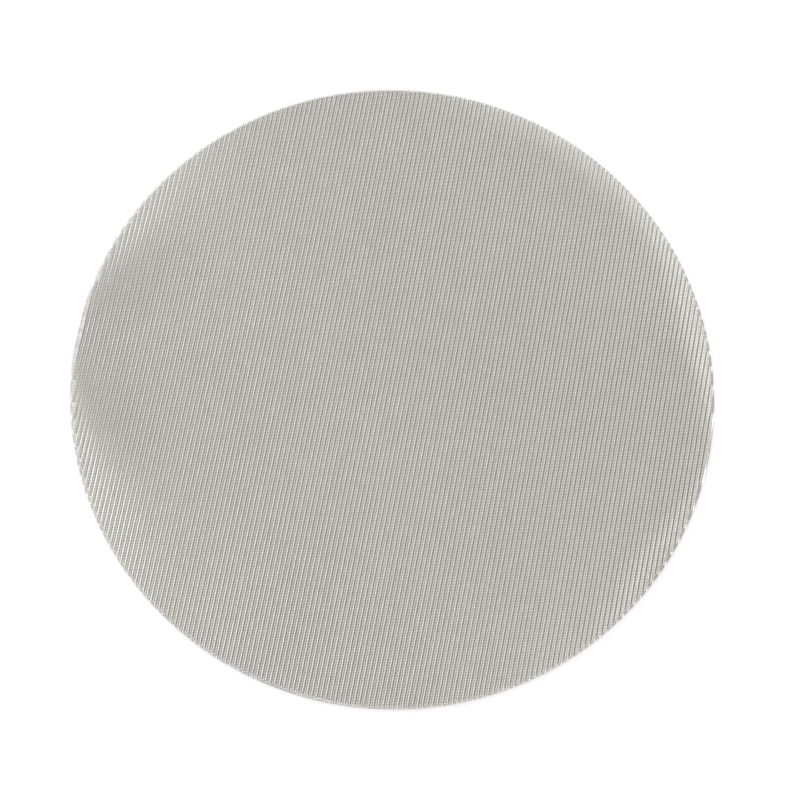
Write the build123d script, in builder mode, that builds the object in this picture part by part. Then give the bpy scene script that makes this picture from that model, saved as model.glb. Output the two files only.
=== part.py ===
"""Round filter disc cut from plain Dutch woven wire cloth.

The cloth has thick straight wires, the warps, along Y. Thin wires, the wefts,
cross them along X, packed side by side. Each weft passes over one warp and
under the next, and its neighbours do the opposite. So both faces carry a ridge
over every warp, and no straight hole passes through the cloth, which is one
wall with the outer form of the weave.

The origin is at the centre of the face that the disc lies on. +Z points up,
out of the cloth, and the ridges run along Y.
"""

from build123d import *
import os
from math import ceil

# Driving dimensions, in millimetres
disc_diameter = 58.5
warp_pitch = 0.4225
warp_shift = -0.104
warp_wire = 0.14
weft_wire = 0.076
rolled_off = 0.003

# Section of the cloth, with heights measured from its middle plane.
# A valley is level with the top of the warps, and a crest is one weft higher.
valley_height = warp_wire / 2
crest_height = warp_wire / 2 + weft_wire

# Rolling takes a little off the crests of both faces and leaves narrow flats
rolled_thickness = 2 * (crest_height - rolled_off)

# The cloth before the disc is cut from it. Its middle warp lies warp_shift away
# from the centre of the disc, and it reaches at least a pitch past the disc.
disc_radius = disc_diameter / 2
cloth_reach = disc_radius + abs(warp_shift) + warp_pitch
warp_count = 2 * ceil(cloth_reach / warp_pitch) + 1
cloth_edge = warp_count * warp_pitch / 2
cloth_end = Plane(
    origin=(warp_shift, cloth_reach, rolled_thickness / 2),
    x_dir=(1, 0, 0),
    z_dir=(0, -1, 0),
)

# One ridge of the section, on the upper and the lower face, about its warp
with BuildLine() as ridge:
    ThreePointArc(
        (-warp_pitch / 2, valley_height),
        (0, crest_height),
        (warp_pitch / 2, valley_height),
    )
    mirror(about=Plane.XZ)

with BuildPart() as filter_disc:
    # The section repeats the ridge over every warp and closes at the selvedges
    with BuildSketch(cloth_end):
        with BuildLine():
            with GridLocations(warp_pitch, 0, warp_count, 1):
                add(ridge.line)
            for selvedge in (-cloth_edge, cloth_edge):
                Line((selvedge, -valley_height), (selvedge, valley_height))
        make_face()
    extrude(amount=2 * cloth_reach)

    # The round punch cuts the rim, and the rolled height flattens the crests
    Cylinder(
        disc_radius,
        rolled_thickness,
        align=(Align.CENTER, Align.CENTER, Align.MIN),
        mode=Mode.INTERSECT,
    )

filter_disc.part.label = "filter_disc"

os.makedirs("parts", exist_ok=True)
export_step(filter_disc.part, "parts/filter_disc.step")
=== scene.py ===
from math import asin, cos, pi, radians, sin, tan
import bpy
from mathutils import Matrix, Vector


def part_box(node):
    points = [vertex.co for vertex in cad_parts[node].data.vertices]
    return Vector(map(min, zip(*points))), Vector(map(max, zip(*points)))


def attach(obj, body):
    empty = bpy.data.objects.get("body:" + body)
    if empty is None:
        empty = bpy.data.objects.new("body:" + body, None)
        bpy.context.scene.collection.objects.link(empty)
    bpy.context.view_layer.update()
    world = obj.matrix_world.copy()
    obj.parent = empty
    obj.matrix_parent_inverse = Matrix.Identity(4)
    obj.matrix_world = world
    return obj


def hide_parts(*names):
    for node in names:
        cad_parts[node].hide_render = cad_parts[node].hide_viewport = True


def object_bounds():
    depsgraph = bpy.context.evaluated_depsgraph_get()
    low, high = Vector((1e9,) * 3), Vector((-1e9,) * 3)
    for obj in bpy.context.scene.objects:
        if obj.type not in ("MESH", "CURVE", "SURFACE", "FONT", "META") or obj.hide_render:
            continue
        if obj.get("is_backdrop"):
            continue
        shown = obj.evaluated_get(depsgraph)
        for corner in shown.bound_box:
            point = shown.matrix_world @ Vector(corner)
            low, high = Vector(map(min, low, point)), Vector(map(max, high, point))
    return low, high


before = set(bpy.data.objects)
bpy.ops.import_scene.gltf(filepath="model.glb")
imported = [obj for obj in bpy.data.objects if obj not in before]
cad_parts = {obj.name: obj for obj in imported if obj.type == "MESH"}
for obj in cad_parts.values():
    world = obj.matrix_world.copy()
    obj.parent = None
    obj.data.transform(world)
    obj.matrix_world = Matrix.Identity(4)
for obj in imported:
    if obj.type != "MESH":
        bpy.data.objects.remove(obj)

from types import SimpleNamespace

import bpy
import numpy as np
from bpy.props import FloatProperty, FloatVectorProperty, PointerProperty
from bpy.types import Operator, Panel, PropertyGroup
from mathutils import Matrix, Vector

bl_info = {
    "name": "Woven wire filter disc",
    "version": (1, 0, 0),
    "blender": (4, 5, 0),
    "location": "View3D > Sidebar > Filter disc",
    "description": "A round filter disc of plain Dutch woven wire cloth, on a white studio floor",
    "category": "Object",
}

# The box of the solid disc, which the pieces stay inside
CAD_BOX = [list(corner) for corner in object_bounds()]
LOW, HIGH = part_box("filter_disc")
DISC_RADIUS = (HIGH.y - LOW.y) / 2
THICKNESS = HIGH.z - LOW.z
MM = 0.001


class ClothSizes(PropertyGroup):
    """Sizes of the woven disc"""

    disc_radius: FloatProperty(
        name="Disc radius", description="From the centre of the disc to its rim",
        default=DISC_RADIUS, unit="LENGTH",
    )
    thickness: FloatProperty(
        name="Thickness", description="Over the crests of both faces",
        default=THICKNESS, unit="LENGTH",
    )
    warp_pitch: FloatProperty(
        name="Warp pitch", description="From one straight wire to the next",
        default=0.4225 * MM, unit="LENGTH",
    )
    warp_shift: FloatProperty(
        name="Warp shift", description="From the centre of the disc to its middle straight wire",
        default=-0.104 * MM, unit="LENGTH",
    )
    warp_wire: FloatProperty(
        name="Warp wire", description="Thickness of the straight wires",
        default=0.14 * MM, unit="LENGTH",
    )
    weft_wire: FloatProperty(
        name="Weft wire", description="Thickness of the thin wires that cross the straight ones",
        default=0.076 * MM, unit="LENGTH",
    )
    weft_pitch: FloatProperty(
        name="Weft pitch", description="From one thin wire to the next",
        default=0.0699 * MM, unit="LENGTH",
    )
    fringe_slope: FloatProperty(
        name="Fringe slope", description="How steeply the loose wire ends at the rim fall",
        default=radians(6), subtype="ANGLE", unit="ROTATION",
    )
    rim_inset: FloatProperty(
        name="Rim inset", description="How far the longest cut wires stand out of the rim",
        default=0.02 * MM, unit="LENGTH",
    )
    rim_roll: FloatProperty(
        name="Rim roll", description="How far the cut pulls the rim down",
        default=0.045 * MM, unit="LENGTH",
    )


class ClothColours(PropertyGroup):
    """Colours of the steel wires, of the painted shade in their hollows, and of the crests, whose
    colour is partly a painted highlight
    """

    wire: FloatVectorProperty(
        name="Wire", description="Colour of the steel wires",
        default=(0.674, 0.666, 0.617), subtype="COLOR", size=3,
    )
    # The gap colour is painted shade, mixed into the hollows between the wires
    gap: FloatVectorProperty(
        name="Gap", description="Colour of the shaded hollows between the wires",
        default=(0.075, 0.072, 0.065), subtype="COLOR", size=3,
    )
    # The crest colour is partly a painted highlight on the polished crests
    crest: FloatVectorProperty(
        name="Crest", description="Colour of the crests that rolling has polished",
        default=(0.724, 0.715, 0.676), subtype="COLOR", size=3,
    )


class StudioLight(PropertyGroup):
    """The floor, the lamps and the camera"""

    floor: FloatVectorProperty(
        name="Floor", description="Colour of the studio floor",
        default=(0.934, 0.947, 0.959), subtype="COLOR", size=3,
    )
    surround: FloatProperty(
        name="Surround", description="Brightness of the white room", default=0.82,
    )
    lean: FloatProperty(
        name="Lean", description="How much brighter the room is on the left than on the right",
        default=0.4, subtype="FACTOR",
    )
    rise: FloatProperty(
        name="Rise", description="How much brighter the room is overhead than at the floor",
        default=0.5, subtype="FACTOR",
    )
    softbox_power: FloatProperty(
        name="Softbox", description="Power of the large soft lamp over the disc",
        default=0.77, unit="POWER",
    )
    key_power: FloatProperty(
        name="Key lamp", description="Power of the small lamp that draws the crests",
        default=0.31, unit="POWER",
    )
    softbox_size: FloatProperty(
        name="Softbox size", description="Length of the soft lamp's sides",
        default=0.3, unit="LENGTH",
    )
    focal_length: FloatProperty(
        name="Focal length", description="Focal length of the camera, on a frame 36 mm wide",
        default=117.92, unit="CAMERA",
    )
    distance: FloatProperty(
        name="Camera distance", description="From the camera to the point it looks at",
        default=0.23788, unit="LENGTH",
    )
    azimuth: FloatProperty(
        name="Azimuth", description="Turn of the camera round the disc",
        default=radians(5.606), subtype="ANGLE", unit="ROTATION",
    )
    elevation: FloatProperty(
        name="Elevation", description="Height of the camera over the floor",
        default=radians(74.097), subtype="ANGLE", unit="ROTATION",
    )
    roll: FloatProperty(
        name="Roll", description="Turn of the camera about its own axis",
        default=radians(5.381), subtype="ANGLE", unit="ROTATION",
    )


# Columns of the cloth's grid: on a ridge's flank from its crest, at the ends from the rim inwards,
# and the least room between the two kinds
FLANK_COLUMNS = np.array([0.0295, 0.052, 0.0745, 0.12, 0.166]) * MM
END_COLUMNS = np.array([0.0003, 0.004, 0.014, 0.035, 0.07, 0.12, 0.19, 0.28]) * MM
COLUMN_ROOM = 0.02 * MM

# Rows of the grid: past the place where the fringe begins, and from the rim inwards. Two rows are
# at least the room apart, or in a short column at least this part of it
FRINGE_FROM, FRINGE_TO = -0.04 * MM, 0.12 * MM
FRINGE_ROWS = np.array([-0.12 * MM, FRINGE_FROM, 0.01 * MM, 0.06 * MM, FRINGE_TO])
RIM_ROWS = np.array([0.28, 0.19, 0.1, 0.045, 0.015, 0]) * MM
ROW_ROOM, ROW_PART = 0.004 * MM, 1 / 60

# From the rim inwards: where the cut begins to press the cloth down, where its ridges are flat, and
# the band over which the hollows close. The rim bulges a little halfway up
PRESSED_FROM, PRESSED_FLAT = 0.28 * MM, 0.1 * MM
CLOSING_FROM, CLOSED = 0.16 * MM, 0.07 * MM
RIM_BELLY = 0.014 * MM


def smooth_step(value, low, high):
    """0 below low and 1 above high, on the curve 3 t^2 - 2 t^3 between them."""
    part = np.clip((value - low) / (high - low), 0, 1)
    return part * part * (3 - 2 * part)


def ridge_height(offset, sizes):
    """Height of a face over the middle plane at an offset from its nearest crest.

    A thin wire lies on the straight one along an arc of one straight wire's radius plus its own
    thickness. Past the lean angle, whose sine is both thicknesses over the pitch, it runs straight
    down to the valley, midway between two warps. Rolling cuts the arc off at half the thickness.
    """
    outer = sizes.warp_wire / 2 + sizes.weft_wire
    lean = asin((sizes.warp_wire + sizes.weft_wire) / sizes.warp_pitch)
    reach = np.abs(offset)
    arc = np.sqrt(np.clip(outer**2 - reach**2, 0, None))
    slant = outer * cos(lean) - (reach - outer * sin(lean)) * tan(lean)
    height = np.where(reach < outer * sin(lean), arc, slant)
    return np.minimum(height, sizes.thickness / 2)


def cloth_columns(radius, sizes):
    """Where the columns of the cloth's grid stand across the ridges.

    Each ridge has a column on its crest, one in its valley and five on either flank. The rim's two
    ends have more of them, which crowd towards the ends as the rim turns along the ridges.
    """
    reach = int(radius / sizes.warp_pitch) + 2
    crests = sizes.warp_shift + np.arange(-reach, reach + 1) * sizes.warp_pitch
    steps = np.concatenate([-FLANK_COLUMNS[::-1], [0], FLANK_COLUMNS, [sizes.warp_pitch / 2]])
    ends = radius - END_COLUMNS
    columns = (crests[:, None] + steps).ravel()
    columns = columns[np.abs(columns) < ends[-1] - COLUMN_ROOM]
    return np.sort(np.concatenate([-ends, columns, ends]))


def cloth_rows(columns, radius, sizes):
    """The rows in each column, as distances from its middle, where its fringe begins and its crest.

    A column reaches to the circle. Its fringe begins where the next straight wire outwards meets
    the circle, because past that point no wire holds the thin ones down. The rows crowd there and
    at the rim. No two are nearer than a least room, which shrinks in the shortest columns.
    """
    outwards = np.where(columns < 0, -1, 1)
    on_crest = 1e-9
    inner = np.floor(outwards * (columns - sizes.warp_shift) / sizes.warp_pitch + on_crest)
    crest = sizes.warp_shift + outwards * inner * sizes.warp_pitch
    next_crest = crest + outwards * sizes.warp_pitch
    full = np.sqrt(radius**2 - columns**2)
    fringe = np.sqrt(np.clip(radius**2 - next_crest**2, 0, None))
    knots = np.concatenate([
        np.stack([0 * full, fringe * 0.5], 1),
        fringe[:, None] + FRINGE_ROWS,
        full[:, None] - RIM_ROWS,
    ], axis=1)
    rows = np.clip(np.sort(knots, axis=1), 0, None)
    room = np.arange(rows.shape[1]) * np.minimum(ROW_ROOM, full * ROW_PART)[:, None]
    rows = np.maximum.accumulate(rows - room, axis=1) + room
    rows *= (full / rows[:, -1])[:, None]
    return rows, fringe, crest


def cloth_surface(radius, sizes):
    """Both faces of the cloth as grids of places, columns by rows, and how far each is fringe.

    A face has the ridge's height. In the fringe, and where the cut has pressed the ridges flat
    along the rim, it has a straight fall from the last crest outwards. Near the rim the upper face
    rolls down by the square of how near it is, and the lower face comes down to the table, as the
    burr of the cut.
    """
    columns = cloth_columns(radius, sizes)
    half, fringe, crest = cloth_rows(columns, radius, sizes)
    along = np.concatenate([-half[:, :0:-1], half], axis=1)
    across = np.repeat(columns[:, None], along.shape[1], 1)
    reach = np.hypot(across, along)
    fringe = fringe[:, None]
    loose = smooth_step(np.abs(along), fringe + FRINGE_FROM, fringe + FRINGE_TO)
    flat = np.maximum(loose, smooth_step(reach, radius - PRESSED_FROM, radius - PRESSED_FLAT))
    roll = smooth_step(reach, radius - PRESSED_FROM, radius) ** 2

    half_pitch = sizes.warp_pitch / 2
    offset = (columns - sizes.warp_shift + half_pitch) % sizes.warp_pitch - half_pitch
    ridge = ridge_height(offset, sizes)[:, None]
    middle = sizes.thickness / 2
    fall = (middle - np.abs(columns - crest) * tan(sizes.fringe_slope))[:, None]
    height = ridge * (1 - flat) + fall * flat
    burr = np.maximum(loose, roll)
    upper = np.stack([across, along, middle + height - sizes.rim_roll * roll], -1)
    lower = np.stack([across, along, np.maximum(middle - height, 0) * (1 - burr)], -1)
    return upper, lower, loose


def grid_faces(columns, rows, first=0, upwards=True):
    """Quads of a grid that is stored column by column, as corners of four."""
    corner = np.arange(columns * rows).reshape(columns, rows) + first
    quads = [corner[:-1, :-1], corner[1:, :-1], corner[1:, 1:], corner[:-1, 1:]]
    quads = np.stack(quads if upwards else quads[::-1], -1)
    return quads.reshape(-1, 4)


def rim_loop(columns, rows):
    """Corners of a grid's edge in order round it, anticlockwise seen from above."""
    corner = np.arange(columns * rows).reshape(columns, rows)
    sides = [corner[:-1, 0], corner[-1, :-1], corner[:0:-1, -1], corner[0, :0:-1]]
    return np.concatenate(sides)


def band_faces(loops):
    """Quads between each closed loop of corners and the next one below it."""
    quads = []
    for high, low in zip(loops, loops[1:]):
        quads.append(np.stack([high, low, np.roll(low, -1), np.roll(high, -1)], -1))
    return np.concatenate(quads)


def new_piece(name, places, faces, material, replaced=()):
    """Makes a smooth mesh object of a piece, which rides on the disc's body."""
    mesh = bpy.data.meshes.new(name)
    mesh.vertices.add(len(places))
    mesh.vertices.foreach_set("co", np.asarray(places, np.float32).ravel())
    width = faces.shape[1]
    mesh.loops.add(faces.size)
    mesh.loops.foreach_set("vertex_index", faces.astype(np.int32).ravel())
    mesh.polygons.add(len(faces))
    mesh.polygons.foreach_set("loop_start", np.arange(0, faces.size, width, dtype=np.int32))
    mesh.polygons.foreach_set("use_smooth", np.ones(len(faces), bool))
    mesh.update(calc_edges=True)
    mesh.validate()
    mesh.materials.append(material)
    piece = bpy.data.objects.new(name, mesh)
    bpy.context.scene.collection.objects.link(piece)
    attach(piece, "root")
    if replaced:
        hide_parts(*replaced)
    return piece


# Cut wire ends: how far inside the rim they start, the most that one falls short of it, how thick
# they are next to the wire, their sides, and the seed of their draws
WEFT_END = SimpleNamespace(start=0.16 * MM, short=0.06 * MM, share=0.9, sides=6, seed=7)
WARP_END = SimpleNamespace(start=0.2 * MM, short=0.035 * MM, share=0.95, sides=12, seed=11)

# Every second thin wire lies higher or lower by a step, and each strays from its height. The
# outermost wires of both kinds meet the rim too flat to show a cut end, and are left out
WEFT_STEP, WEFT_STRAY = 0.014 * MM, 0.004 * MM
WEFTS_LEFT_OUT, WARP_MARGIN = 12, 0.3 * MM


def rim_wires(lines, radius, wire, start):
    """Both ends of wires on parallel lines, at the rim: side, line, where each starts and its room.

    A wire starts where its line meets a circle that lies inside the rim by start. Its room goes on
    to where its outer side meets the rim, sqrt(radius^2 - (line + wire / 2)^2) from the middle.
    """
    side = np.repeat([-1.0, 1.0], len(lines))
    line = np.tile(lines, 2)
    begin = np.sqrt((radius - start) ** 2 - line**2)
    full = np.sqrt(radius**2 - (np.abs(line) + wire / 2) ** 2)
    return side, line, begin, full - begin


def cut_ends(places, directions, radius, sides, length):
    """Short round wires that end in a flat cut, as places and triangles.

    Each is a ring of corners about its line at the start, the same ring at the end and one corner
    in the middle of the cut. The rings are circles in the plane of the upright and the sideways
    direction.
    """
    count = len(places)
    turn = np.arange(sides) * 2 * pi / sides
    sideways = np.stack([-directions[:, 1], directions[:, 0]], 1)
    circle = np.zeros((count, sides, 3))
    circle[:, :, :2] = sideways[:, None, :] * np.cos(turn)[None, :, None] * radius
    circle[:, :, 2] = np.sin(turn)[None, :] * radius
    ahead = np.zeros((count, 3))
    ahead[:, :2] = directions * length[:, None]
    start = places[:, None, :] + circle
    end = start + ahead[:, None, :]
    middle = (places + ahead)[:, None, :]
    corners = np.concatenate([start, end, middle], 1)
    first = np.arange(count)[:, None] * (2 * sides + 1)
    ring = np.arange(sides)
    after = np.roll(ring, -1)
    one = np.stack([ring, sides + after, sides + ring], -1)
    two = np.stack([ring, after, sides + after], -1)
    cap = np.stack([sides + ring, sides + after, np.full(sides, 2 * sides)], -1)
    triangles = np.concatenate([one, two, cap])
    faces = (first[:, :, None] + triangles[None]).reshape(-1, 3)
    return corners.reshape(-1, 3), faces


class Sum:
    """A socket of a material on which sums are written as in Python."""

    def __init__(self, tree, socket=None):
        self.tree = tree
        self.socket = socket

    def node(self, kind, settings=None, values=None, out=0):
        """Adds a node, makes its settings, fills its sockets and gives one of its outputs."""
        made = self.tree.nodes.new(kind)
        for name, value in (settings or {}).items():
            setattr(made, name, value)
        for name, value in (values or {}).items():
            if isinstance(value, Sum):
                self.tree.links.new(value.socket, made.inputs[name])
            else:
                made.inputs[name].default_value = value
        return Sum(self.tree, made.outputs[out])

    def maths(self, operation, *values):
        return self.node("ShaderNodeMath", {"operation": operation}, dict(enumerate(values)))

    def __add__(self, other):
        return self.maths("ADD", self, other)

    def __radd__(self, other):
        return self.maths("ADD", other, self)

    def __sub__(self, other):
        return self.maths("SUBTRACT", self, other)

    def __rsub__(self, other):
        return self.maths("SUBTRACT", other, self)

    def __mul__(self, other):
        return self.maths("MULTIPLY", self, other)

    def __rmul__(self, other):
        return self.maths("MULTIPLY", other, self)

    def __truediv__(self, other):
        return self.maths("DIVIDE", self, other)

    def __mod__(self, other):
        return self.maths("FLOORED_MODULO", self, other)

    def __abs__(self):
        return self.maths("ABSOLUTE", self)

    def __round__(self):
        return self.maths("ROUND", self)

    def root(self):
        return self.maths("SQRT", self)

    def at_least(self, other):
        return self.maths("MAXIMUM", self, other)

    def at_most(self, other):
        return self.maths("MINIMUM", self, other)

    def axis(self, number):
        """One of the three numbers of a vector."""
        return self.node("ShaderNodeSeparateXYZ", values={0: self}, out=number)

    def step(self, low, high):
        """0 below low and 1 above high, with a smooth rise between them."""
        limits = {"Value": self, "From Min": low, "From Max": high}
        return self.node("ShaderNodeMapRange", {"interpolation_type": "SMOOTHSTEP"}, limits)

    def feed(self, shader, name):
        """Links this socket to an input of a shader."""
        self.tree.links.new(self.socket, shader.inputs[name])

    def mix(self, low, high):
        """Between two colours, by this socket."""
        values = {"Factor": self, 6: low, 7: high}
        return self.node("ShaderNodeMix", {"data_type": "RGBA"}, values, out=2)

    def noise(self, scale, detail=0.0):
        """Soft noise from 0 to 1 at this vector, with so many cells to the metre."""
        return self.node(
            "ShaderNodeTexNoise", values={"Vector": self, "Scale": scale, "Detail": detail}
        )

    def swing(self, amount):
        """Noise from 0 to 1 brought about 0, with so much between its ends."""
        return (self - 0.5) * amount


def new_material(name):
    """A material with only a Principled shader, and that shader."""
    material = bpy.data.materials.new(name)
    material.use_nodes = True
    return material, material.node_tree.nodes["Principled BSDF"]


def steel_material(name):
    """A material whose shader is all metal, that shader, and the surface's place as a socket."""
    material, shader = new_material(name)
    shader.inputs["Metallic"].default_value = 1.0
    return material, shader, Sum(material.node_tree).node("ShaderNodeTexCoord", out="Object")


def colour(value):
    """A colour with an alpha of 1, as sockets take it."""
    return (*value, 1.0)


# The margin that handling has rubbed: the middle of its side as an angle from +X, and the bands of
# the radius and of the angle's cosine over which it grows full
RUBBED_SIDE = radians(46)
RUBBED_RADIUS, RUBBED_ARC = (0.9, 1.03), (0.6, 1.0)

# Bands of the disc towards the front and the right, in radii from its middle, and how much less the
# cut presses the valleys than the crests
FRONT, RIGHT = (0.2, 1.0), (0.4, 1.0)
VALLEY_SPARED = 0.6

# Bands across a ridge, from where each begins to where it is full, in pitches from the crest
CREST_SIDE, PRESSED_SIDE, VALLEY = (0.06, 0.2), (0.12, 0.4), (0.34, 0.48)
SHOULDER_RISE, SHOULDER_FALL = (0.0, 0.12), (0.22, 0.36)
# The polished band, whose crest colour is partly a painted highlight: its middle, right of the
# crest, and its edge
POLISH_AND_HIGHLIGHT_MIDDLE, POLISH_EDGE = 0.06, (0.03, 0.14)

# Along a ridge, in spaces from wire to wire: how far they waver, where a gap begins inside a single
# wire's side and is full outside it, the groove between packed wires, and half a packed wire
WAVER = 0.12
GAP_INSIDE, GAP_OUTSIDE = 0.05, 0.09
PACKED_GROOVE, PACKED_HALF = (0.34, 0.5), 0.54

# How far the back of a single and of a packed wire turns the normal, the most that it may turn, and
# how much flatter polish makes a wire's back and rubbing a ridge
SINGLE_TURN, PACKED_TURN, STEEPEST_TURN = 0.6, 0.8, 0.8
POLISHED_FLAT, RUBBED_FLAT = 0.5, 0.5

# How much painted shade the gaps get: on a crest, how much more on a flank and on the shoulder left
# of the crest, how much of it goes from crest to flank at the front, and the darkest. Then the
# painted shade in the grooves, and how much of all that painted shade rubbing takes away
CREST_GAP_SHADE, FLANK_GAP_SHADE, SHOULDER_GAP_SHADE, FRONT_SHADE_SHIFT, DARKEST_GAP_SHADE = 0.74, 0.2, 0.25, 0.12, 0.97
GROOVE_SHADE, RUBBED_AWAY = 0.2, 0.45

# How many cells the noises on the steel have to the metre
DRIFT_SCALE, JITTER_SCALE, CLOUD_SCALE, GRAIN_SCALE = 420.0, 2600.0, 60.0, 6500.0
CUTTER_SCALE, STRETCH_SCALE = 9000.0, (90.0, 7200.0, 0.0)

# How much the brightness swings along stretches of wire, in clouds, in the grain, from bead to bead
# and from wire to wire in the fringe, and how much red and blue swing
STRETCH_SWING, CLOUD_SWING, GRAIN_SWING, BEAD_SWING = 0.06, 0.08, 0.1, 0.08
FRINGE_SWING, RED_SWING, BLUE_SWING = 0.35, 0.02, 0.03

# Painted shade, which makes parts darker than the rest: on the fringe, more on the fringe at the
# right, on the pressed rim and on the rim's wall. Painted light, which makes parts brighter: a
# painted highlight on the crests' cut ends, and on the wall at the front. The bands over which a
# face counts as upper or lower and no longer as wall, and over which the wall's front grows full
FRINGE_SHADE, RIGHT_SHADE, PRESSED_SHADE, WALL_SHADE = 0.08, 0.12, 0.07, 0.4
TIP_HIGHLIGHT, FRONT_WALL_PAINTED_LIGHT = 0.42, 0.6
LEVEL_FACE, FRONT_WALL = (0.25, 0.7), (0.0, 0.5)

# Roughness of the wires, how much the grain swings it, what polish takes off and the fringe adds.
# Roughness of a cut end and what the cutter's marks add, their band in the noise, and their tint
WIRE_ROUGH, GRAIN_ROUGH, POLISH_ROUGH, FRINGE_ROUGH = 0.34, 0.06, 0.06, 0.06
CUT_ROUGH, MARKS_ROUGH, MARKS_BAND, MARKS_TINT = 0.28, 0.2, (0.25, 0.6), 0.6


def weave_pattern(place, sizes):
    """Where a point lies in the weave, as sockets.

    across counts the ridges, ridge is the nearest one's number, and crest_offset is the distance
    from its crest in pitches. over counts the thin wires that pass over this ridge, every second
    one, and any_wire counts them all. Both waver a little. Their offsets are from the middle of the
    nearest wire. apart is 1 where the single wires over a ridge stand apart and 0 in the valley,
    gap is the hollow between two of them, and groove is the line between packed wires.
    """
    across = (place.axis(0) - sizes.warp_shift) / sizes.warp_pitch
    along = place.axis(1)
    ridge = round(across)
    crest_offset = abs(across - ridge)
    jitter = place.noise(JITTER_SCALE)
    shift = place.noise(DRIFT_SCALE, 1.0).swing(WAVER) + jitter.swing(WAVER)
    over = along / (2 * sizes.weft_pitch) + ridge % 2.0 * 0.5 + shift
    any_wire = along / sizes.weft_pitch + shift * 2
    over_offset = over - round(over)
    any_offset = any_wire - round(any_wire)
    wire_half = sizes.weft_wire / (4 * sizes.weft_pitch)
    apart = 1 - crest_offset.step(*VALLEY)
    gap = abs(over_offset).step(wire_half - GAP_INSIDE, wire_half + GAP_OUTSIDE) * apart
    groove = abs(any_offset).step(*PACKED_GROOVE) * (1 - apart)
    return SimpleNamespace(
        across=across, ridge=ridge, crest_offset=crest_offset, jitter=jitter, over=over,
        any_wire=any_wire, over_offset=over_offset, any_offset=any_offset, wire_half=wire_half,
        apart=apart, gap=gap, groove=groove,
    )


def rim_pattern(place, weave, sizes):
    """What depends on the place on the whole disc, as sockets.

    near is 1 at the front of the disc, and right at its right. rubbed is 1 on the rim at the side
    that handling has rubbed, where the hollows lose part of their painted shade, and 0 inside.
    pressed is 1 on the rim that the cut has pressed, more so on the crests than in the valleys.
    fringe is 1 where no straight wire holds the thin ones.
    """
    x, y = place.axis(0), place.axis(1)
    reach = (x * x + y * y).root()
    side = (x * cos(RUBBED_SIDE) + y * sin(RUBBED_SIDE)) / reach
    rubbed = (reach / sizes.disc_radius).step(*RUBBED_RADIUS) * side.step(*RUBBED_ARC)
    pressed = reach.step(sizes.disc_radius - CLOSING_FROM, sizes.disc_radius - CLOSED)
    pressed = pressed * (1 - weave.crest_offset.step(*PRESSED_SIDE) * VALLEY_SPARED)
    fringe = place.node("ShaderNodeAttribute", {"attribute_name": "fringe"}, out="Fac")
    return SimpleNamespace(
        near=(0 - y / sizes.disc_radius).step(*FRONT),
        right=(x / sizes.disc_radius).step(*RIGHT),
        rubbed=rubbed, pressed=pressed, fringe=fringe,
    )


def hollow_shade(weave, rim):
    """How dark the hollows between the wires are, from 0 to 1.

    All of it is painted shade. A gap gets more of it off the crest and the most on the shoulder
    left of it, and at the front more of it moves from the crest to the flank. Grooves between
    packed wires get a faint painted shade. The fringe has no hollows, and the rubbed and the
    pressed rim lose their painted shade.
    """
    lee = weave.ridge - weave.across
    shoulder = lee.step(*SHOULDER_RISE) * (1 - lee.step(*SHOULDER_FALL))
    flank = weave.crest_offset.step(*CREST_SIDE)
    shift = rim.near * FRONT_SHADE_SHIFT
    gap_shade = weave.gap * (flank * (shift + FLANK_GAP_SHADE) + CREST_GAP_SHADE - shift)
    gap_shade = (gap_shade + shoulder * weave.gap * SHOULDER_GAP_SHADE).at_most(DARKEST_GAP_SHADE)
    kept = (1 - rim.fringe) * (1 - rim.rubbed * RUBBED_AWAY) * (1 - rim.pressed)
    return (gap_shade + weave.groove * GROOVE_SHADE) * kept


def wire_brightness(place, facing, weave, rim, grain):
    """A factor about 1 on the steel's colour.

    It has the tone of long stretches of wire, soft clouds, fine grain and each bead's own tone. In
    the fringe each thin wire has its own tone too, and the fringe gets painted shade, most at the
    right. The crests' cut ends get a painted highlight, the pressed rim and the upright wall of the
    rim painted shade, and the wall painted light at the front.
    """
    stretches = place.node("ShaderNodeMapping", values={0: place, 3: STRETCH_SCALE})
    bead = place.node("ShaderNodeCombineXYZ", values={0: weave.ridge, 1: round(weave.over)})
    own = place.node("ShaderNodeTexWhiteNoise", {"noise_dimensions": "2D"}, {"Vector": bead})
    any_own = place.node(
        "ShaderNodeTexWhiteNoise", {"noise_dimensions": "1D"}, {"W": round(weave.any_wire)}
    )
    cloth = stretches.noise(1.0, 1.0).swing(STRETCH_SWING)
    cloth = cloth + place.noise(CLOUD_SCALE, 2.0).swing(CLOUD_SWING)
    cloth = cloth + grain.swing(GRAIN_SWING) + own.swing(BEAD_SWING)
    # Painted shade on the fringe, more at the right
    shade = rim.right * RIGHT_SHADE + FRINGE_SHADE
    fringe = rim.fringe * (any_own.swing(FRINGE_SWING) - shade)
    tips = rim.pressed * (1 - weave.crest_offset.step(*CREST_SIDE))
    wall = 1 - abs(facing.axis(2)).step(*LEVEL_FACE)
    front = rim.near.step(*FRONT_WALL) * FRONT_WALL_PAINTED_LIGHT
    # Painted highlight on the crests' cut ends, painted shade on the pressed rim and the wall, and
    # painted light on the wall at the front
    cut = tips * TIP_HIGHLIGHT - rim.pressed * PRESSED_SHADE + wall * (front - WALL_SHADE)
    return 1 + cloth + fringe + cut


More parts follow.
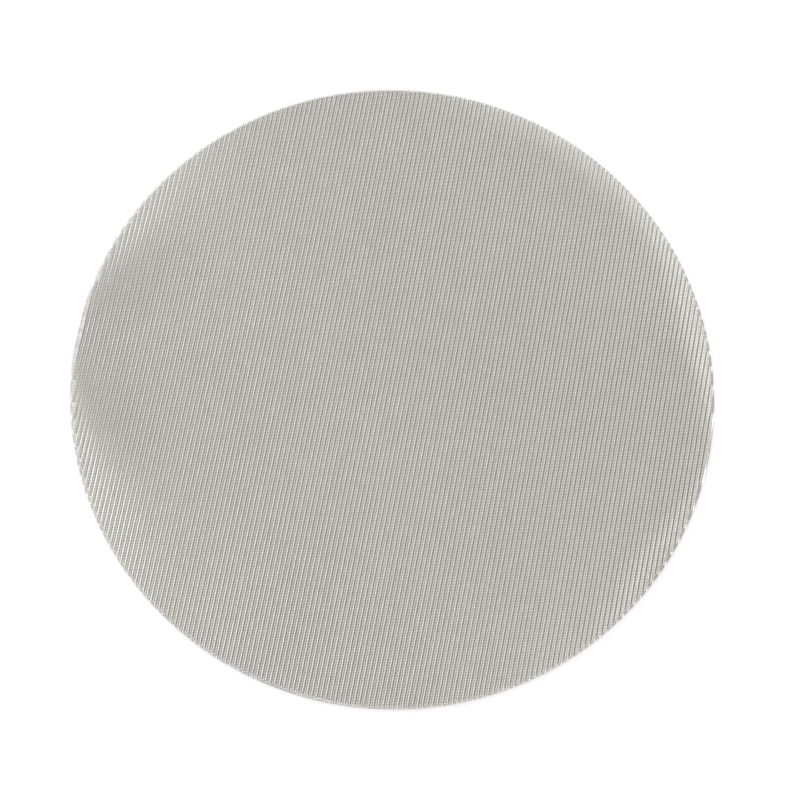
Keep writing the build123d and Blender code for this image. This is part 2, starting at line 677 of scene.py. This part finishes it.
def wire_normal(place, facing, weave, rim, polish_and_highlight):
    """The surface's normal, turned along the straight wires by the thin wires' round backs.

    A wire's back turns it by its offset, more for a single wire and less where it is polished.
    Handling has worn the ridges of the rubbed side lower, so there the normal stands more upright.
    """
    over_turn = weave.over_offset * (SINGLE_TURN / weave.wire_half)
    any_turn = weave.any_offset * (PACKED_TURN / PACKED_HALF)
    single = weave.apart * (1 - weave.gap) * (1 - polish_and_highlight * POLISHED_FLAT)
    turn = over_turn * single + any_turn * (1 - weave.apart)
    turn = turn.at_most(STEEPEST_TURN).at_least(-STEEPEST_TURN)
    keep = (1 - turn * turn).root()
    worn = keep * (1 - rim.rubbed * RUBBED_FLAT)
    scale = place.node("ShaderNodeCombineXYZ", values={0: worn, 1: worn, 2: keep})
    scaled = place.node("ShaderNodeVectorMath", {"operation": "MULTIPLY"}, {0: facing, 1: scale})
    sideways = place.node("ShaderNodeCombineXYZ", values={1: turn})
    normal = place.node("ShaderNodeVectorMath", {"operation": "ADD"}, {0: scaled, 1: sideways})
    return place.node("ShaderNodeVectorMath", {"operation": "NORMALIZE"}, {0: normal})


def wire_cloth_steel(sizes, colours):
    """Stainless steel wire cloth, with the thin wires' round backs, painted shade in the hollows, a
    partly painted highlight on the crests, and wear.
    """
    material, shader, place = steel_material("wire_cloth_steel")
    facing = place.node("ShaderNodeNewGeometry", out="Normal")
    weave = weave_pattern(place, sizes)
    rim = rim_pattern(place, weave, sizes)
    grain = place.noise(GRAIN_SCALE, 1.0)

    # Rolling has polished the crests, and the cut the rim. The crest colour on the polished band is
    # partly a painted highlight, set a little right of the crests' middles
    smear = abs(weave.across - weave.ridge - POLISH_AND_HIGHLIGHT_MIDDLE)
    polish_and_highlight = (1 - smear.step(*POLISH_EDGE)) * (1 - weave.gap) * (1 - rim.fringe)
    polish_and_highlight = polish_and_highlight.at_least(rim.pressed)

    steel = polish_and_highlight.mix(colour(colours.wire), colour(colours.crest))
    # Painted shade in the hollows: the gap colour mixed in by hollow_shade
    shaded = hollow_shade(weave, rim).mix(steel, colour(colours.gap))
    bright = wire_brightness(place, facing, weave, rim, grain)
    red, blue = 1 + weave.jitter.swing(RED_SWING), 1 - weave.jitter.swing(BLUE_SWING)
    tinted = place.node(
        "ShaderNodeCombineColor", values={0: bright * red, 1: bright, 2: bright * blue}
    )
    base = place.node(
        "ShaderNodeMix", {"data_type": "RGBA", "blend_type": "MULTIPLY"},
        {"Factor": 1.0, 6: shaded, 7: tinted}, out=2,
    )
    base.feed(shader, "Base Color")
    rough = WIRE_ROUGH + grain.swing(GRAIN_ROUGH) - polish_and_highlight * POLISH_ROUGH
    (rough + rim.fringe * FRINGE_ROUGH).feed(shader, "Roughness")
    wire_normal(place, facing, weave, rim, polish_and_highlight).feed(shader, "Normal")
    return material


def cut_steel(name, tint):
    """Freshly cut wire ends: brighter steel with fine marks of the cutter."""
    material, shader, place = steel_material(name)
    marks = place.noise(CUTTER_SCALE, 2.0)
    dark = tuple(MARKS_TINT * part for part in tint)
    marks.step(*MARKS_BAND).mix(colour(dark), colour(tint)).feed(shader, "Base Color")
    (CUT_ROUGH + marks * MARKS_ROUGH).feed(shader, "Roughness")
    return material


class FILTER_OT_cloth(Operator):
    """Weaves the cloth of the disc, both faces and the cut rim, in place of the plain solid"""

    bl_idname = "filter_disc.cloth"
    bl_label = "Woven cloth"

    def execute(self, context):
        sizes, colours = context.scene.cloth_sizes, context.scene.cloth_colours
        radius = sizes.disc_radius - sizes.rim_inset
        upper, lower, loose = cloth_surface(radius, sizes)
        columns, rows = loose.shape
        count = columns * rows

        # The rim bulges a little between the faces, on a loop of corners halfway up
        loop = rim_loop(columns, rows)
        edge = upper.reshape(-1, 3)[loop, :2]
        out = edge / np.hypot(*edge.T)[:, None]
        halfway = np.full((len(loop), 1), sizes.thickness / 2)
        belly = np.concatenate([out * (radius + RIM_BELLY), halfway], 1)

        places = np.concatenate([upper.reshape(-1, 3), lower.reshape(-1, 3), belly])
        middle = 2 * count + np.arange(len(loop))
        faces = np.concatenate([
            grid_faces(columns, rows),
            grid_faces(columns, rows, count, upwards=False),
            band_faces([loop, middle, loop + count]),
        ])
        steel = wire_cloth_steel(sizes, colours)
        piece = new_piece("woven_cloth", places, faces, steel, replaced=("filter_disc",))
        fringe = np.concatenate([loose.ravel(), loose.ravel(), np.ones(len(loop))])
        mark = piece.data.attributes.new("fringe", "FLOAT", "POINT")
        mark.data.foreach_set("value", fringe.astype(np.float32))
        return {"FINISHED"}


class FILTER_OT_weft_ends(Operator):
    """Adds the cut ends of the thin wires round the rim"""

    bl_idname = "filter_disc.weft_ends"
    bl_label = "Thin wire ends"

    def execute(self, context):
        sizes, colours = context.scene.cloth_sizes, context.scene.cloth_colours
        draw = np.random.default_rng(WEFT_END.seed)
        reach = int(sizes.disc_radius / sizes.weft_pitch) - WEFTS_LEFT_OUT
        lines = np.arange(-reach, reach + 1) * sizes.weft_pitch
        side, line, start, room = rim_wires(
            lines, sizes.disc_radius, sizes.weft_wire, WEFT_END.start
        )
        length = room - draw.uniform(0, WEFT_END.short, len(line))
        up = np.tile(np.arange(len(lines)) % 2 * 2 - 1, 2)
        stray = draw.uniform(-1, 1, len(line)) * WEFT_STRAY
        height = sizes.thickness / 2 + up * WEFT_STEP + stray
        places = np.stack([side * start, line, height], 1)
        directions = np.stack([side, np.zeros(len(line))], 1)
        wire = sizes.weft_wire / 2 * WEFT_END.share
        corners, faces = cut_ends(places, directions, wire, WEFT_END.sides, length)
        new_piece("weft_ends", corners, faces, cut_steel("cut_thin_wire", colours.crest))
        return {"FINISHED"}


class FILTER_OT_warp_ends(Operator):
    """Adds the cut ends of the straight wires round the rim"""

    bl_idname = "filter_disc.warp_ends"
    bl_label = "Straight wire ends"

    def execute(self, context):
        sizes, colours = context.scene.cloth_sizes, context.scene.cloth_colours
        draw = np.random.default_rng(WARP_END.seed)
        reach = int(sizes.disc_radius / sizes.warp_pitch) + 1
        lines = sizes.warp_shift + np.arange(-reach, reach + 1) * sizes.warp_pitch
        lines = lines[np.abs(lines) < sizes.disc_radius - WARP_MARGIN]
        side, line, start, room = rim_wires(
            lines, sizes.disc_radius, sizes.warp_wire, WARP_END.start
        )
        length = room - draw.uniform(0, WARP_END.short, len(line))
        height = np.full(len(line), sizes.thickness / 2)
        places = np.stack([line, side * start, height], 1)
        directions = np.stack([np.zeros(len(line)), side], 1)
        wire = sizes.warp_wire / 2 * WARP_END.share
        corners, faces = cut_ends(places, directions, wire, WARP_END.sides, length)
        new_piece("warp_ends", corners, faces, cut_steel("cut_straight_wire", colours.crest))
        return {"FINISHED"}


# The white room: the height and the depth at which its slopes are level, how steep the slope on the
# left is, its darkest part, its colours, and the bands over which the right wall and the ceiling
# take over. The ceiling's band counts height plus a part of the depth
LEVEL_UP, LEVEL_AHEAD, LEFT_SLOPE, DARKEST_ROOM = 0.45, 0.27, 4.2, 0.35
LEFT_WALL, RIGHT_WALL = (1.0, 0.985, 0.97, 1.0), (1.09, 0.985, 0.86, 1.0)
CEILING = (0.98, 0.985, 1.04, 1.0)
RIGHT_BAND, CEILING_BAND, CEILING_AHEAD = (0.0, 0.7), (0.68, 0.96), 0.8

# The floor, the lamps and the camera
FLOOR_RADIUS, FLOOR_DROP, FLOOR_SIDES = 3.0, 0.002 * MM, 64
FLOOR_ROUGH, FLOOR_SPECULAR = 0.9, 0.1
SOFTBOX_PLACE, SOFTBOX_TINT = (-0.08, 0.005, 0.55), (1.0, 0.99, 0.985)
KEY_PLACE, KEY_SIZE, KEY_TINT = (-0.045, 0.02, 0.6), 0.14, (1.0, 1.0, 1.0)
CAMERA_AIM = (0.8053 * MM, -0.9108 * MM, 0.2 * MM)
CLIP_START, FRAME_WIDTH_MM = 5 * MM, 36.0


def studio_floor(light):
    """A round floor just under the disc, which reaches far past the view."""
    turn = np.arange(FLOOR_SIDES) * 2 * pi / FLOOR_SIDES
    ring = np.stack([np.cos(turn), np.sin(turn), np.zeros(FLOOR_SIDES)], 1) * FLOOR_RADIUS
    ring[:, 2] = -FLOOR_DROP
    mesh = bpy.data.meshes.new("studio_floor")
    mesh.from_pydata(ring.tolist(), [], [list(range(FLOOR_SIDES))])
    paint, shader = new_material("floor_paint")
    shader.inputs["Base Color"].default_value = colour(light.floor)
    shader.inputs["Roughness"].default_value = FLOOR_ROUGH
    shader.inputs["Specular IOR Level"].default_value = FLOOR_SPECULAR
    mesh.materials.append(paint)
    floor = bpy.data.objects.new("studio_floor", mesh)
    bpy.context.scene.collection.objects.link(floor)
    floor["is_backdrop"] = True


def white_room(light):
    """A white room whose brightness changes with the direction.

    It is brighter on the left, by the lean, and overhead, by the rise. On the left it also grows
    steeply from the near side to the far one. It has a darkest part, so no light is negative. It is
    warm on the right, and cool overhead and towards the far side.
    """
    world = bpy.data.worlds.new("white_room")
    world.use_nodes = True
    room = world.node_tree.nodes["Background"]
    towards = Sum(world.node_tree).node("ShaderNodeTexCoord", out="Generated")
    right, ahead, up = (towards.axis(number) for number in range(3))
    left = (0 - right).at_least(0.0)
    slope = 1 - right * light.lean + (up - LEVEL_UP) * light.rise
    slope = slope + left * (ahead - LEVEL_AHEAD) * LEFT_SLOPE
    walls = right.step(*RIGHT_BAND).mix(LEFT_WALL, RIGHT_WALL)
    (light.surround * slope.at_least(DARKEST_ROOM)).feed(room, "Strength")
    overhead = (up + ahead * CEILING_AHEAD).step(*CEILING_BAND)
    overhead.mix(walls, CEILING).feed(room, "Color")
    bpy.context.scene.world = world


def area_lamp(name, place, size, power, tint):
    """A soft square lamp at a place, turned towards the middle of the disc."""
    lamp = bpy.data.lights.new(name, "AREA")
    lamp.shape = "SQUARE"
    lamp.size = size
    lamp.energy = power
    lamp.color = tint
    holder = bpy.data.objects.new(name, lamp)
    holder.location = place
    holder.rotation_euler = Vector(place).to_track_quat("Z", "Y").to_euler()
    holder.visible_camera = False
    bpy.context.scene.collection.objects.link(holder)


def studio_camera(light):
    """The camera at the photograph's angle, turned about its own axis by the roll."""
    camera = bpy.data.cameras.new("camera")
    camera.lens = light.focal_length
    camera.sensor_width = FRAME_WIDTH_MM
    camera.clip_start = CLIP_START
    az, el, roll = light.azimuth, light.elevation, light.roll
    back = Vector((sin(az) * cos(el), -cos(az) * cos(el), sin(el)))
    right = Vector((cos(az), sin(az), 0))
    up = back.cross(right)
    turned = cos(roll) * right + sin(roll) * up
    raised = -sin(roll) * right + cos(roll) * up
    pose = Matrix((turned, raised, back)).transposed().to_4x4()
    pose.translation = Vector(CAMERA_AIM) + back * light.distance
    holder = bpy.data.objects.new("camera", camera)
    holder.matrix_world = pose
    bpy.context.scene.collection.objects.link(holder)
    bpy.context.scene.camera = holder


class FILTER_OT_stage(Operator):
    """Sets the white floor, the white room, the lamps and the camera"""

    bl_idname = "filter_disc.stage"
    bl_label = "Studio"

    def execute(self, context):
        light = context.scene.studio_light
        context.scene.view_settings.view_transform = "Standard"
        studio_floor(light)
        white_room(light)
        area_lamp("softbox", SOFTBOX_PLACE, light.softbox_size, light.softbox_power, SOFTBOX_TINT)
        area_lamp("key_lamp", KEY_PLACE, KEY_SIZE, light.key_power, KEY_TINT)
        studio_camera(light)
        return {"FINISHED"}


class FILTER_PT_pieces(Panel):
    """Lists the pieces of the filter disc and their sizes"""

    bl_label = "Filter disc"
    bl_idname = "FILTER_PT_pieces"
    bl_space_type = "VIEW_3D"
    bl_region_type = "UI"
    bl_category = "Filter disc"

    def draw(self, context):
        layout = self.layout
        for piece in PIECES:
            layout.operator(piece.bl_idname)
        for name in GROUPS:
            group = getattr(context.scene, name)
            box = layout.box()
            for value in type(group).__annotations__:
                box.prop(group, value)


PIECES = (FILTER_OT_cloth, FILTER_OT_weft_ends, FILTER_OT_warp_ends, FILTER_OT_stage)
GROUPS = {"cloth_sizes": ClothSizes, "cloth_colours": ClothColours, "studio_light": StudioLight}


def register():
    for kind in (*GROUPS.values(), *PIECES, FILTER_PT_pieces):
        bpy.utils.register_class(kind)
    for name, group in GROUPS.items():
        setattr(bpy.types.Scene, name, PointerProperty(type=group))


def unregister():
    for name in GROUPS:
        delattr(bpy.types.Scene, name)
    for kind in (FILTER_PT_pieces, *reversed(PIECES), *GROUPS.values()):
        bpy.utils.unregister_class(kind)


def main():
    register()
    bpy.ops.filter_disc.cloth()
    bpy.ops.filter_disc.weft_ends()
    bpy.ops.filter_disc.warp_ends()
    bpy.ops.filter_disc.stage()
    {"cad": CAD_BOX, "visual": [list(corner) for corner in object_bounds()]}


if __name__ == "__main__":
    main()
